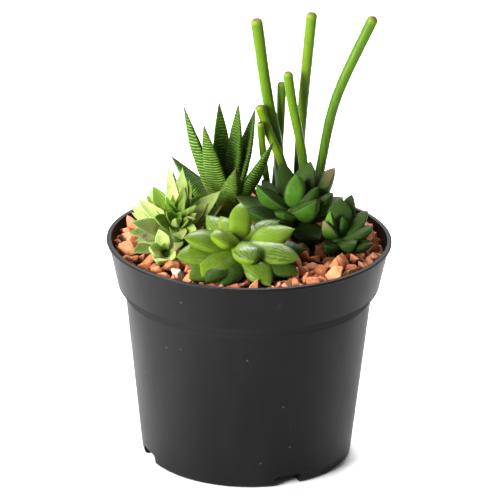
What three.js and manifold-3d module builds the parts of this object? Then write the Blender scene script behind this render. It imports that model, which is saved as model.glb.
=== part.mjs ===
// A nursery pot of small succulents: banded, pale, glossy and dark haworthia rosettes, and the
// round upright leaves of a taller plant, in soil covered with crushed terracotta.
// Millimetres and degrees. +Z is up, the origin is under the middle of the pot, the viewer stands at -Y.
import * as THREE from "three";
import { mergeVertices } from "three/addons/utils/BufferGeometryUtils.js";
import Module from "manifold-3d";

const wasm = await Module();
wasm.setup();

// Pot: driving dimensions.
const RIM_RADIUS = 60;
const POT_HEIGHT = 95.7;
const LIP_DEPTH = 1.6;
const LIP_OVERHANG = 0.9;
const LIP_ROUNDING = 0.45;
const WALL = 1.2;
const LEDGE_HEIGHT = 72;
const COLLAR_HEIGHT = 75.3;
const LEDGE_RADIUS = 52.2;
const COLLAR_RADIUS = 55.3;
const COLLAR_ROUNDING = 0.9;
const FOOT_RADIUS = 44.8;
const FOOT_WIDTH = 2.4;
const FOOT_ROUNDING = 1.6;
const FOOT_DRAFT = 0.6;
const FLOOR_RECESS = 3.4;
const FLOOR_THICKNESS = 1.5;
const POT_SIDES = 40;
const NOTCH_WIDTH = 12.4;
const NOTCH_HEIGHT = 4.6;
const NOTCH_ROUNDING = 1.8;
const NOTCH_CUT = 9;
const NOTCH_FIRST = -67;
const NOTCH_COUNT = 4;
const DRAIN_RADIUS = 4.5;
const DRAIN_PLACE = 34;

// Soil and gravel.
const GAP = 0.3;
const GRAVEL_GAP = 0.5;
const SOIL_TOP = 88.5;
const GRAVEL_BED = 1.6;
const GRAVEL_MOUND = 1.2;
const GRAVEL_RADIUS = 56.2;
const STONE_SIZE = 4.6;
const STONE_SPACING = 8.8;
const STONE_TRIES = 1500;
const STONE_RISE = 0.32;
const STONE_CLEARANCE = 0.5;
const STONE_KNOCK = [0.72, 1.22];
const STONE_LENGTH = [1.2, 1.8];
const STONE_WIDTH = [1, 1.3];
const STONE_THICKNESS = [0.9, 1.3];
const STONE_GROWTH = [0.8, 1.3];
const MOUND_STEPS = [0.7, 0.4, 0];
const GRAVEL_SEED = 11;
const STONE_SEED_STEP = 7919;

// Stems and crowns: shares of a crown's radius where none is a length.
const STEM_SIDES = 8;
const STEM_SHARE = 0.55;
const SHOULDER_DROP = 0.3;
const CROWN_TOP = 0.6;
const CROWN_DOME = 0.2;
const STEM_GAP = 0.4;
const YOUNG_DEPTH = 0.6;
const ROOT_DEPTH = 7;
const CROWN_CLEARANCE = 4;
const PENCIL_NECK = 5;

const radians = THREE.MathUtils.degToRad;

// A repeatable random draw between 0 and 1.
function seededRandom(seed) {
  let state = seed;
  return () => {
    state = (state * 16807) % 2147483647;
    return state / 2147483647;
  };
}

// A draw between two limits.
function between(random, [low, high]) {
  return low + (high - low) * random();
}

// A three.js geometry with each corner held once.
function joined(geometry) {
  geometry.deleteAttribute("normal");
  geometry.deleteAttribute("uv");
  return mergeVertices(geometry, 1e-4);
}

// A closed three.js geometry as a solid, and back.
function solidOf(geometry) {
  const merged = joined(geometry);
  return new wasm.Manifold(
    new wasm.Mesh({
      numProp: 3,
      vertProperties: new Float32Array(merged.attributes.position.array),
      triVerts: new Uint32Array(merged.index.array),
    }),
  );
}

// The one body of a solid: a hollow that joining sealed is filled, and a loose scrap is dropped.
function wholeBody(solid) {
  return solid.decompose().reduce((most, body) => (body.volume() > most.volume() ? body : most));
}

function geometryOf(solid) {
  const mesh = solid.getMesh();
  const geometry = new THREE.BufferGeometry();
  geometry.setAttribute("position", new THREE.BufferAttribute(mesh.vertProperties, 3));
  geometry.setIndex(new THREE.BufferAttribute(mesh.triVerts, 1));
  geometry.computeVertexNormals();
  return geometry;
}

// A profile of [radius, height] points that starts and ends on the axis, turned about +Z.
function turned(profile, sides) {
  const points = profile.map(([radius, height]) => new THREE.Vector2(radius, height));
  return solidOf(new THREE.LatheGeometry(points, sides).rotateX(Math.PI / 2));
}

function uprightCylinder(radius, bottom, top, x, y, sides = STEM_SIDES) {
  const cylinder = new THREE.CylinderGeometry(radius, radius, top - bottom, sides);
  return solidOf(cylinder.rotateX(Math.PI / 2).translate(x, y, (top + bottom) / 2));
}

// Inner radius of the pot's wall at a height.
function innerRadius(height) {
  const run = (from, to, low, high) => from + ((to - from) * (height - low)) / (high - low);
  if (height < LEDGE_HEIGHT) return run(FOOT_RADIUS, LEDGE_RADIUS, 0, LEDGE_HEIGHT) - WALL;
  if (height < COLLAR_HEIGHT) return run(LEDGE_RADIUS, COLLAR_RADIUS, LEDGE_HEIGHT, COLLAR_HEIGHT) - WALL;
  return run(COLLAR_RADIUS, RIM_RADIUS - LIP_OVERHANG, COLLAR_HEIGHT, POT_HEIGHT - LIP_DEPTH) - WALL;
}

// One arched cut through the foot, as wide as the notch, with rounded upper corners.
function footNotch(angle) {
  const half = NOTCH_WIDTH / 2;
  const arch = new THREE.Shape();
  arch.moveTo(-half, -NOTCH_HEIGHT);
  arch.lineTo(half, -NOTCH_HEIGHT);
  arch.lineTo(half, NOTCH_HEIGHT - NOTCH_ROUNDING);
  arch.quadraticCurveTo(half, NOTCH_HEIGHT, half - NOTCH_ROUNDING, NOTCH_HEIGHT);
  arch.lineTo(NOTCH_ROUNDING - half, NOTCH_HEIGHT);
  arch.quadraticCurveTo(-half, NOTCH_HEIGHT, -half, NOTCH_HEIGHT - NOTCH_ROUNDING);
  const cut = new THREE.ExtrudeGeometry(arch, { depth: NOTCH_CUT, bevelEnabled: false, curveSegments: 3 });
  cut.rotateX(Math.PI / 2).rotateZ(Math.PI / 2);
  cut.translate(FOOT_RADIUS - NOTCH_CUT / 2, 0, 0).rotateZ(radians(angle));
  return solidOf(cut);
}

function makePot() {
  const floor = FLOOR_RECESS + FLOOR_THICKNESS;
  const foot = FOOT_RADIUS - FOOT_ROUNDING;
  const footArc = FOOT_ROUNDING * (1 - Math.SQRT1_2);
  const lipFoot = POT_HEIGHT - LIP_DEPTH;
  const profile = [
    [0, FLOOR_RECESS],
    [foot - FOOT_WIDTH - FOOT_DRAFT, FLOOR_RECESS],
    [foot - FOOT_WIDTH, 0],
    [foot, 0],
    [FOOT_RADIUS - footArc, footArc],
    [FOOT_RADIUS, FOOT_ROUNDING],
    [LEDGE_RADIUS, LEDGE_HEIGHT],
    [COLLAR_RADIUS - COLLAR_ROUNDING / 2, COLLAR_HEIGHT - COLLAR_ROUNDING],
    [COLLAR_RADIUS, COLLAR_HEIGHT],
    [RIM_RADIUS - LIP_OVERHANG, lipFoot],
    [RIM_RADIUS, lipFoot + LIP_ROUNDING],
    [RIM_RADIUS, POT_HEIGHT - LIP_ROUNDING],
    [RIM_RADIUS - LIP_ROUNDING, POT_HEIGHT],
    [RIM_RADIUS - LIP_OVERHANG - WALL + LIP_ROUNDING, POT_HEIGHT],
    [innerRadius(lipFoot), lipFoot],
    [innerRadius(COLLAR_HEIGHT), COLLAR_HEIGHT],
    [innerRadius(LEDGE_HEIGHT), LEDGE_HEIGHT],
    [innerRadius(floor), floor],
    [0, floor],
  ];
  let pot = turned(profile, POT_SIDES);
  for (let i = 0; i < NOTCH_COUNT; i++) {
    const angle = NOTCH_FIRST + (i * 360) / NOTCH_COUNT;
    const [x, y] = [Math.cos(radians(angle)) * DRAIN_PLACE, Math.sin(radians(angle)) * DRAIN_PLACE];
    pot = pot.subtract(footNotch(angle)).subtract(uprightCylinder(DRAIN_RADIUS, 0, floor + 1, x, y));
  }
  return pot;
}

// Leaves. A kind says how its leaves are shaped, and a row says where one leaf points:
// [azimuth, rise, length, width], from the youngest leaf to the oldest. The young rows are small leaves that
// spring from the top of the crown.
// rings: how many rings of corners it has. crowd: how far these crowd toward the tip. round: where along
// the leaf it is widest. point: how sharply it narrows to its tip. foot: its width at the root, against its
// widest. thick: its depth against its width. face: how much of this depth is above its middle. keel: from
// a round belly (0) to a sharp keel (1).
// A plant's curl says how far its leaves bend up, or down, from root to tip. Each leaf turns its upper face
// toward its plant's facing.
const PLUMP = {
  rings: 5, crowd: 1.25, round: 0.56, point: 0.8, foot: 0.5, thick: 0.72, face: 0.3, keel: 0.25,
};
const THIN = {
  rings: 4, crowd: 1.2, round: 0.46, point: 0.86, foot: 0.55, thick: 0.5, face: 0.25, keel: 0.6,
};
const BROAD = {
  rings: 5, crowd: 1.25, round: 0.54, point: 0.68, foot: 0.46, thick: 0.66, face: 0.2, keel: 0.5,
};
const BANDED = {
  rings: 19, crowd: 1, round: 0.3, point: 0.95, foot: 0.75, thick: 0.6, face: 0.25, keel: 0.3,
};
const LEAF_SIDES = 6;
const BAND_HEIGHT = 0.45;

const WINDOW = {
  kind: PLUMP, crown: [-4, -31, 105.5], stem: 7, curl: -12, core: 6, facing: [0.05, -0.4, 0.9],
  leaves: [
    [70, 9, 8, 4.7], [54, 9, 16, 9], [-143, 23, 16, 10.4], [-69, -6, 17, 12], [89, 41, 20, 9.6],
    [120, 25, 18, 8.4], [-20, -4, 27, 12.4], [-157, 17, 26, 11.6], [-56, -21, 25, 12.6],
    [-126, -10, 26, 13.6], [39, 21, 23, 11], [130, 23, 24, 10], [10, 21, 25, 12], [-154, 5, 29, 13.4],
    [-106, -13, 24, 12.6], [14, 0, 29, 12], [-27, -6, 28, 12], [-118, -4, 28, 10.6], [-135, -4, 29, 12],
  ],
};
const DARK = {
  kind: BROAD, crown: [18, 9, 106], stem: 6, curl: 0, core: 6, facing: [0, -0.1, 1],
  leaves: [
    [-69, 80, 16, 11.5], [-24, 44, 16, 10.5], [-165, 37, 20, 10.5], [-50, 28, 17, 15], [111, 54, 22, 9.5],
    [168, 29, 14.6, 8.5], [43, 63, 23.2, 12], [-109, 18, 13, 11], [162, 11, 26, 11], [-11, 33, 21, 12.5],
    [20, 46, 27.6, 12.5], [-157, 16, 22, 12], [128, 28, 24, 9], [24, 15, 25, 13], [-58, -4, 22, 13.5],
    [-119, 16, 22, 12],
  ],
};
const SMALL_DARK = {
  kind: BROAD, crown: [37, -9, 101], stem: 4, curl: 0, core: 4.5, facing: [0, -0.1, 1],
  leaves: [
    [-22, 78, 8, 5.5], [83, 51, 16.3, 10.5], [-159, 72, 12, 7], [68, 41, 21, 8], [-140, 50, 12, 8],
    [33, 33, 18, 9], [0, 23, 16, 9], [-52, 11, 12, 9], [-23, 6, 16, 9], [-118, 12, 12, 8.5],
  ],
};
const ZEBRA = {
  kind: BANDED, crown: [-10, 27, 102], stem: 6, curl: 6, core: 7, facing: [0, 0, 1],
  leaves: [
    [41, 82, 44.5, 9.5], [-144, 72, 40.5, 11.5], [91, 76, 29, 9], [37, 70, 44.5, 10], [-170, 68, 51.5, 10.5],
    [108, 75, 46.5, 9.5], [-14, 58, 39.5, 10.5], [-70, 63, 26, 11], [155, 38, 34.5, 11.5], [105, 38, 24, 11],
    [-155, 30, 20, 10],
  ],
};
const PALE = {
  kind: THIN, crown: [-30, -3, 102], stem: 5, curl: -4, core: 6, facing: [-0.1, -0.75, 0.65],
  leaves: [
    [107, 39, 8, 2.8], [82, 53, 9, 3], [59, 40, 9, 3], [117, 16, 9, 3.2], [34, 21, 7, 3], [97, 54, 6, 2.6],
    [77, 57, 18, 5.2], [96, 52, 18, 5.6], [66, 46, 14, 4.6], [41, 14, 13, 6.6], [-109, 12, 9, 4.8],
    [-141, 32, 15, 7], [108, 38, 19, 5.6], [69, 53, 22, 6.2], [39, 27, 18, 6.8], [57, 30, 21, 8.2],
    [120, 22, 20, 6.4], [87, 53, 25, 5.2], [132, 25, 24, 7], [128, 39, 24, 8.2], [45, 24, 23, 6.4],
    [40, 29, 27, 8], [84, 58, 28, 7], [107, 56, 29.5, 5.6], [99, 53, 28, 5], [35, 18, 24, 7.4],
    [151, 30, 24, 6.2], [128, 33, 26, 5.6], [-148, 22, 25, 7.6], [145, 21, 23, 6], [-142, 13, 27, 7.4],
    [-100, -14, 14, 7.5], [150, 19, 26, 6.6], [-135, 8, 25, 7.4], [144, 10, 26, 6.6],
    [-131, 0, 29, 8.6],
  ],
  young: [
    [-60, 30, 11, 4.6], [-95, 36, 12, 4.8], [-122, 46, 13, 5], [-45, 4, 12, 5.4], [-80, -6, 13, 6],
    [-160, 12, 17, 6],
  ],
};
const OFFSET = {
  kind: THIN, crown: [-34.5, -21.8, 97.5], stem: 2, curl: 0, core: 3.5, facing: [-0.1, -0.75, 0.65],
  leaves: [
    [-104, 57, 5, 3.4], [122, 52, 10, 6.2], [76, 36, 8, 5.2], [-126, 29, 13, 7], [-105, 7, 13, 7.5],
    [-65, 12, 10, 6.2],
  ],
};

// Where a leaf's middle line is at a share t of its length, out from its root and up, and how steep it is.
function middleLine(t, rise, length, curl) {
  const bend = radians(curl);
  const mean = radians(rise) + (bend * (t - 1)) / 2;
  const half = (bend * t) / 2;
  const reach = length * t * (Math.abs(half) > 1e-6 ? Math.sin(half) / half : 1);
  const slope = radians(rise) + bend * (t - 0.5);
  return { out: reach * Math.cos(mean), up: reach * Math.sin(mean), slope };
}

// Share of the full width at t.
function outline(t, kind) {
  if (t < kind.round) return kind.foot + (1 - kind.foot) * Math.sin((Math.PI / 2) * (t / kind.round));
  return Math.cos(((Math.PI / 2) * (t - kind.round)) / (1 - kind.round)) ** kind.point;
}

// Where a leaf of this azimuth and slope has its left side, and which way its upper face looks.
function leafFrame(azimuth, slope, facing) {
  const level = Math.cos(slope);
  const ahead = new THREE.Vector3(level * Math.cos(azimuth), level * Math.sin(azimuth), Math.sin(slope));
  const side = new THREE.Vector3(...facing).cross(ahead).normalize();
  return { side, face: ahead.cross(side) };
}

// A ball of rings round Y, drawn out along the leaf's middle line. It has a corner along the middle of the
// upper face and one along the keel.
function leafSolid({ kind, curl, facing }, [degrees, rise, length, width], root) {
  const ball = joined(new THREE.SphereGeometry(1, LEAF_SIDES, kind.rings).rotateY(Math.PI / LEAF_SIDES));
  const flatToFlat = Math.cos(Math.PI / LEAF_SIDES);
  const place = ball.attributes.position;
  const azimuth = radians(degrees);
  const point = new THREE.Vector3();
  for (let i = 0; i < place.count; i++) {
    point.fromBufferAttribute(place, i);
    const ring = Math.acos(THREE.MathUtils.clamp(point.y, -1, 1)) / Math.PI;
    const t = 1 - (1 - ring) ** kind.crowd;
    const girth = Math.hypot(point.x, point.z) || 1;
    const [across, over] = [point.x / girth, point.z / girth];
    const share = t > 0 && t < 1 ? outline(t, kind) : 0;
    const half = ((width / 2) * share) / flatToFlat;
    const depth = width * kind.thick * share;
    const band = kind === BANDED && over < 0 && Math.round(ring * kind.rings) % 2 ? BAND_HEIGHT * share : 0;
    const belly = (1 - kind.keel) * Math.abs(over) + kind.keel * (1 - Math.abs(across));
    const height = over > 0 ? over * depth * kind.face : -belly * depth * (1 - kind.face) - band;
    const { out, up, slope } = middleLine(t, rise, length, curl);
    const { side, face } = leafFrame(azimuth, slope, facing);
    point.set(out * Math.cos(azimuth), out * Math.sin(azimuth), up).add(root);
    point.addScaledVector(side, across * half).addScaledVector(face, height);
    place.setXYZ(i, point.x, point.y, point.z);
  }
  return solidOf(ball);
}

// A stem with a swollen crown, and its leaves, each older leaf springing from a little lower down.
function makeRosette(plant) {
  const { crown: [x, y, z], stem, core, leaves, young = [] } = plant;
  const stemRadius = core * STEM_SHARE;
  const profile = [
    [0, SOIL_TOP - ROOT_DEPTH],
    [stemRadius, SOIL_TOP - ROOT_DEPTH],
    [stemRadius, Math.max(z - stem - core, SOIL_TOP + CROWN_CLEARANCE)],
    [core, z - stem - core * SHOULDER_DROP],
    [core * CROWN_TOP, z - core * CROWN_DOME],
    [0, z],
  ];
  let rosette = turned(profile, STEM_SIDES).translate([x, y, 0]);
  leaves.forEach((row, i) => {
    const root = new THREE.Vector3(x, y, z - (stem * i) / (leaves.length - 1));
    rosette = rosette.add(leafSolid(plant, row, root));
  });
  for (const row of young) {
    rosette = rosette.add(leafSolid(plant, row, new THREE.Vector3(x, y, z - YOUNG_DEPTH)));
  }
  return wholeBody(rosette);
}

// Round upright leaves: [x, y] of the root in the soil, then the middle line's [x, y, z] up to the tip.
const PENCIL_LEAVES = [
  { root: [14, 43], line: [[11.6, 42.5, 122], [7.3, 42, 142], [1.6, 42, 179]], width: 5.6 },
  { root: [20.5, 45], line: [[21.2, 44.5, 120], [22.6, 44, 145], [25.3, 44, 181.5]], width: 5.2 },
  { root: [28, 40], line: [[30.6, 39, 115], [36, 38, 144], [51.6, 38, 182]], width: 5.2 },
  { root: [24, 34.5], line: [[22.6, 35.5, 118], [17.4, 36, 144], [15.3, 36, 157.5]], width: 4.6 },
  { root: [10.5, 49], line: [[12.5, 47, 123], [13.1, 46.5, 149.5]], width: 4.2 },
  { root: [18, 37], line: [[15, 37, 112], [7.6, 37, 130], [3.4, 37, 142]], width: 4.4 },
  { root: [9, 38], line: [[5.5, 36, 120], [4, 32, 136]], width: 3.4 },
];
const PENCIL_SIDES = 6;
const PENCIL_RINGS = 9;
const PENCIL_CROWDING = 1.7;
const PENCIL_ROOT_WIDTH = 0.8;

function pencilLine({ root: [x, y], line }) {
  const points = [[x, y, SOIL_TOP - ROOT_DEPTH], [x, y, SOIL_TOP + PENCIL_NECK], ...line];
  return new THREE.CatmullRomCurve3(points.map((p) => new THREE.Vector3(...p)));
}

// A ball of rings round Y, drawn out along the middle line, a little thicker toward its blunt tip.
function makePencilLeaf(leaf) {
  const ball = joined(new THREE.SphereGeometry(1, PENCIL_SIDES, PENCIL_RINGS));
  const place = ball.attributes.position;
  const curve = pencilLine(leaf);
  const point = new THREE.Vector3();
  for (let i = 0; i < place.count; i++) {
    point.fromBufferAttribute(place, i);
    const t = 1 - (1 - Math.acos(THREE.MathUtils.clamp(point.y, -1, 1)) / Math.PI) ** PENCIL_CROWDING;
    const girth = Math.hypot(point.x, point.z) || 1;
    const centre = curve.getPointAt(t);
    const along = curve.getTangentAt(t);
    const side = new THREE.Vector3(0, 1, 0).cross(along).normalize();
    const front = along.clone().cross(side);
    const blunt = t > 0 && t < 1 ? 1 : 0;
    const radius = (leaf.width / 2) * blunt * (PENCIL_ROOT_WIDTH + (1 - PENCIL_ROOT_WIDTH) * t);
    centre.addScaledVector(side, (point.x / girth) * radius);
    centre.addScaledVector(front, (point.z / girth) * radius);
    place.setXYZ(i, centre.x, centre.y, centre.z);
  }
  return solidOf(ball);
}

// Everything that stands in the soil, and the plain holes it stands in.
function stemHole(x, y, radius) {
  return uprightCylinder(radius, SOIL_TOP - ROOT_DEPTH - GAP, POT_HEIGHT, x, y);
}

function makeSoil(holes) {
  const floor = FLOOR_RECESS + FLOOR_THICKNESS + GAP;
  const profile = [
    [0, floor],
    [innerRadius(floor) - GAP, floor],
    [innerRadius(LEDGE_HEIGHT) - GAP, LEDGE_HEIGHT + GAP],
    [innerRadius(COLLAR_HEIGHT) - GAP, COLLAR_HEIGHT + GAP],
    [innerRadius(SOIL_TOP) - GAP, SOIL_TOP],
    [0, SOIL_TOP],
  ];
  return holes.reduce((soil, hole) => soil.subtract(hole), turned(profile, POT_SIDES));
}

// One crushed stone: a box with its corners knocked about.
function stoneSolid(random, size, x, y, z, grown) {
  const box = joined(new THREE.BoxGeometry(1, 1, 1));
  const corners = box.attributes.position;
  for (let i = 0; i < corners.count; i++) {
    const knock = between(random, STONE_KNOCK);
    corners.setXYZ(i, corners.getX(i) * knock, corners.getY(i) * knock, corners.getZ(i) * knock);
  }
  const [long, wide, high] = [STONE_LENGTH, STONE_WIDTH, STONE_THICKNESS].map((limits) => {
    return size * between(random, limits) + grown;
  });
  box.scale(long, wide, high);
  box.rotateX(random() * Math.PI).rotateY(random() * Math.PI).rotateZ(random() * Math.PI);
  box.translate(x, y, z);
  return solidOf(box);
}

// The space above a level, clear of the pot's wall.
function roomInPot(level) {
  const [bottom, top] = [innerRadius(level) - GRAVEL_GAP, innerRadius(POT_HEIGHT) - GRAVEL_GAP];
  return turned([[0, level], [bottom, level], [top, POT_HEIGHT], [0, POT_HEIGHT]], POT_SIDES);
}

function makeGravel(holes, plants) {
  const low = SOIL_TOP + GAP;
  const edge = low + GRAVEL_BED;
  const bedHeight = (radius) => edge + GRAVEL_MOUND * (1 - (radius / GRAVEL_RADIUS) ** 2);
  const profile = [[0, low], [GRAVEL_RADIUS, low], [GRAVEL_RADIUS, edge]];
  for (const share of MOUND_STEPS) profile.push([share * GRAVEL_RADIUS, bedHeight(share * GRAVEL_RADIUS)]);
  let gravel = holes.reduce((bed, hole) => bed.subtract(hole), turned(profile, POT_SIDES));
  const random = seededRandom(GRAVEL_SEED);
  const placed = [];
  for (let i = 0; i < STONE_TRIES; i++) {
    const radius = Math.sqrt(random()) * (GRAVEL_RADIUS - STONE_SIZE / 2);
    const angle = random() * 2 * Math.PI;
    const [x, y] = [radius * Math.cos(angle), radius * Math.sin(angle)];
    const size = STONE_SIZE * between(random, STONE_GROWTH);
    if (placed.some(([px, py]) => Math.hypot(px - x, py - y) < STONE_SPACING)) continue;
    const z = bedHeight(radius) + size * STONE_RISE;
    const seed = 1 + i * STONE_SEED_STEP;
    const room = stoneSolid(seededRandom(seed), size, x, y, z, 2 * STONE_CLEARANCE);
    if (!plants.intersect(room).isEmpty()) continue;
    placed.push([x, y]);
    gravel = gravel.add(stoneSolid(seededRandom(seed), size, x, y, z, 0));
  }
  return wholeBody(gravel.intersect(roomInPot(low)));
}

// The finishes.
const FINISHES = {
  plastic: new THREE.MeshStandardMaterial({ color: "#35363a", roughness: 0.5 }),
  soil: new THREE.MeshStandardMaterial({ color: "#2a1d15", roughness: 1 }),
  terracotta: new THREE.MeshStandardMaterial({ color: "#b9683f", roughness: 0.95 }),
  zebra: new THREE.MeshStandardMaterial({ color: "#4d7a33", roughness: 0.5 }),
  pale: new THREE.MeshStandardMaterial({ color: "#b5c98a", roughness: 0.45 }),
  window: new THREE.MeshStandardMaterial({ color: "#7fab3f", roughness: 0.35 }),
  dark: new THREE.MeshStandardMaterial({ color: "#3f6b36", roughness: 0.45 }),
  pencil: new THREE.MeshStandardMaterial({ color: "#6c9c2c", roughness: 0.5 }),
};

const planter = new THREE.Group();

function addPiece(name, solid, finish) {
  const mesh = new THREE.Mesh(geometryOf(solid), finish);
  mesh.name = name;
  planter.add(mesh);
}

const ROSETTES = {
  window_haworthia: [WINDOW, FINISHES.window],
  dark_haworthia: [DARK, FINISHES.dark],
  small_dark_haworthia: [SMALL_DARK, FINISHES.dark],
  zebra_haworthia: [ZEBRA, FINISHES.zebra],
  pale_haworthia: [PALE, FINISHES.pale],
  pale_offset: [OFFSET, FINISHES.pale],
};

const holes = [];
const grown = [];
for (const [name, [plant, finish]] of Object.entries(ROSETTES)) {
  const rosette = makeRosette(plant);
  addPiece(name, rosette, finish);
  grown.push(rosette);
  holes.push(stemHole(plant.crown[0], plant.crown[1], plant.core * STEM_SHARE + STEM_GAP));
}
PENCIL_LEAVES.forEach((leaf, i) => {
  const solid = makePencilLeaf(leaf);
  addPiece("pencil_leaf_" + (i + 1), solid, FINISHES.pencil);
  grown.push(solid);
  holes.push(stemHole(leaf.root[0], leaf.root[1], leaf.width / 2 + GAP));
});
addPiece("pot", makePot(), FINISHES.plastic);
addPiece("soil", makeSoil(holes), FINISHES.soil);
addPiece("gravel", makeGravel(holes, wasm.Manifold.union(grown)), FINISHES.terracotta);

export default planter;
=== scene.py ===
"""A nursery pot of small succulents: six haworthia rosettes and seven upright pencil leaves in soil, under a
layer of crushed terracotta.

Sizes are in millimetres where MM turns them into metres. +Z is up, the origin is under the middle of the
pot, and the viewer stands at -Y.
"""
import math
import random
from math import radians
from types import SimpleNamespace as Kind

import bmesh
import bpy
from mathutils import Matrix, Vector, noise
from mathutils.bvhtree import BVHTree


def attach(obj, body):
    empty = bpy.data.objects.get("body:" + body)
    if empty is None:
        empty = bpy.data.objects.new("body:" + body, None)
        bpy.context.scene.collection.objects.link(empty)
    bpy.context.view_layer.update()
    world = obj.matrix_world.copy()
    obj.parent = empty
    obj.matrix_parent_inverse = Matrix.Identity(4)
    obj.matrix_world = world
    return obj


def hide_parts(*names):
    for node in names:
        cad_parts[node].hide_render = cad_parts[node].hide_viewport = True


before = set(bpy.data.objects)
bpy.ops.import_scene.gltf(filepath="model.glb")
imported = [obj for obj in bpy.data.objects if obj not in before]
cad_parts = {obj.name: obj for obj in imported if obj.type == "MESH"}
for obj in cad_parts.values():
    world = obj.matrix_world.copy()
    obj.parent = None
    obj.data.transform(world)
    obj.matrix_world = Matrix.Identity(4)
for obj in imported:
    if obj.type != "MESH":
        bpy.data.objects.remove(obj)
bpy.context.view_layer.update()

MM = 0.001
BODY = "root"

# The leaves' unevenness is drawn from this seed, so that the planting comes out the same each time.
WOBBLE_SEED = 11
noise.seed_set(WOBBLE_SEED)

# Pot: driving dimensions, as in the frame.
RIM_RADIUS = 60
POT_HEIGHT = 95.7
LIP_DEPTH = 1.6
LIP_OVERHANG = 0.9
WALL = 1.2
LEDGE_HEIGHT = 72
COLLAR_HEIGHT = 75.3
LEDGE_RADIUS = 52.2
COLLAR_RADIUS = 55.3
FOOT_RADIUS = 44.8
FOOT_WIDTH = 2.4
FOOT_TAPER = 1.6
FOOT_SPLAY = 0.6
# The small step above the foot: how far out from it and how high its two corners lie.
FOOT_STEP = ((0.42, 4.4), (0.55, 4.8))
FLOOR_RECESS = 3.4
FLOOR_THICKNESS = 1.5
POT_STEPS = 180
ARC_STEPS = 4
POT_CREASE = 35
NOTCH_WIDTH = 12.4
NOTCH_HEIGHT = 4.6
NOTCH_DEPTH = 9
NOTCH_ROUNDING = 1.8
NOTCH_FIRST = -67
NOTCH_COUNT = 4
DRAIN_RADIUS = 4.5
DRAIN_PLACE = 34
DRILL_LENGTH = 6

# Soil and gravel. A crumb or a grain is a bump in the surface, a stone is a closed hull of its own.
SOIL_TOP = 88.5
SOIL_GAP = 0.3
CRUMB_SIZE = 6
CRUMB_DEPTH = 0.8
SOIL_STEPS = 96
SOIL_CREASE = 50
GRAVEL_LOW = 88.8
BED_HEIGHT = 90.6
BED_MOUND = 1.2
BED_RADIUS = 56.4
# How dark the bed under the stones is painted: painted shade in the gaps between the stones.
BED_PAINTED_SHADE = 0.93
BED_STEPS = 120
GRAIN_SIZE = 3.1
GRAIN_HEIGHT = 1.1
STONE_SIZES = ((6.5, 10), (4.6, 7), (3.2, 4.8))
STONE_SPACING = 0.35
STONE_TRIES = 4500
STONE_CORNERS = 14
STONE_RISE = (0.12, 0.42)
STONE_CREASE = 24
STONE_WEAR = 0.035
STONE_CLEARANCE = 0.36
STONE_TOP = 94
PALE_STONES = 0.02
DARK_STONES = 0.012
GRAVEL_SEED = 5

# How deep the crowns and the upright leaves stand in the soil.
ROOT_DEPTH = 7


# ---------------------------------------------------------------- small tools

def mix(a, b, share):
    return a + (b - a) * share


def clamp(value, low=0.0, high=1.0):
    return max(low, min(high, value))


def inner_radius(height):
    """Inner radius of the pot's wall at a height, in millimetres."""
    if height < LEDGE_HEIGHT:
        return mix(FOOT_RADIUS, LEDGE_RADIUS, height / LEDGE_HEIGHT) - WALL
    if height < COLLAR_HEIGHT:
        share = (height - LEDGE_HEIGHT) / (COLLAR_HEIGHT - LEDGE_HEIGHT)
        return mix(LEDGE_RADIUS, COLLAR_RADIUS, share) - WALL
    share = (height - COLLAR_HEIGHT) / (POT_HEIGHT - LIP_DEPTH - COLLAR_HEIGHT)
    return mix(COLLAR_RADIUS, RIM_RADIUS - LIP_OVERHANG, share) - WALL


def rounded(corners):
    """An outline of (radius, height, rounding) corners with each corner turned into an arc."""
    points = []
    for i, (r, z, rounding) in enumerate(corners):
        here = Vector((r, z))
        if rounding == 0 or i in (0, len(corners) - 1):
            points.append(here)
            continue
        back = (Vector(corners[i - 1][:2]) - here).normalized()
        ahead = (Vector(corners[i + 1][:2]) - here).normalized()
        start, end = here + back * rounding, here + ahead * rounding
        for k in range(ARC_STEPS + 1):
            s = k / ARC_STEPS
            points.append(start * (1 - s) ** 2 + here * 2 * s * (1 - s) + end * s ** 2)
    return points


def spin_profile(bm, points, steps, centre=(0, 0)):
    """Turns an outline of (radius, height) points, in millimetres, about an upright axis."""
    axis = Vector((centre[0], centre[1], 0)) * MM
    verts = [bm.verts.new(axis + Vector((p[0], 0, p[1])) * MM) for p in points]
    edges = [bm.edges.new(pair) for pair in zip(verts, verts[1:])]
    bmesh.ops.spin(bm, geom=verts + edges, cent=axis, axis=(0, 0, 1), angle=2 * math.pi, steps=steps,
                   use_merge=True, use_duplicate=False)
    bmesh.ops.remove_doubles(bm, verts=bm.verts, dist=1e-6)
    bmesh.ops.recalc_face_normals(bm, faces=bm.faces)


def dress(mesh, material, crease=None):
    """Gives a mesh its material, and smooth shading but for edges sharper than the crease."""
    mesh.materials.clear()
    mesh.materials.append(material)
    mesh.polygons.foreach_set("use_smooth", [True] * len(mesh.polygons))
    if crease:
        mesh.set_sharp_from_angle(angle=radians(crease))


def finished_object(name, bm, material, crease=None):
    """A dressed mesh object at the origin."""
    mesh = bpy.data.meshes.new(name)
    bm.to_mesh(mesh)
    bm.free()
    dress(mesh, material, crease)
    piece = bpy.data.objects.new(name, mesh)
    bpy.context.scene.collection.objects.link(piece)
    return piece


def stand_for(piece, node):
    """Puts a finished piece in the place of the frame's own node."""
    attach(piece, BODY)
    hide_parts(node)


# ---------------------------------------------------------------- finishes

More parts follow.
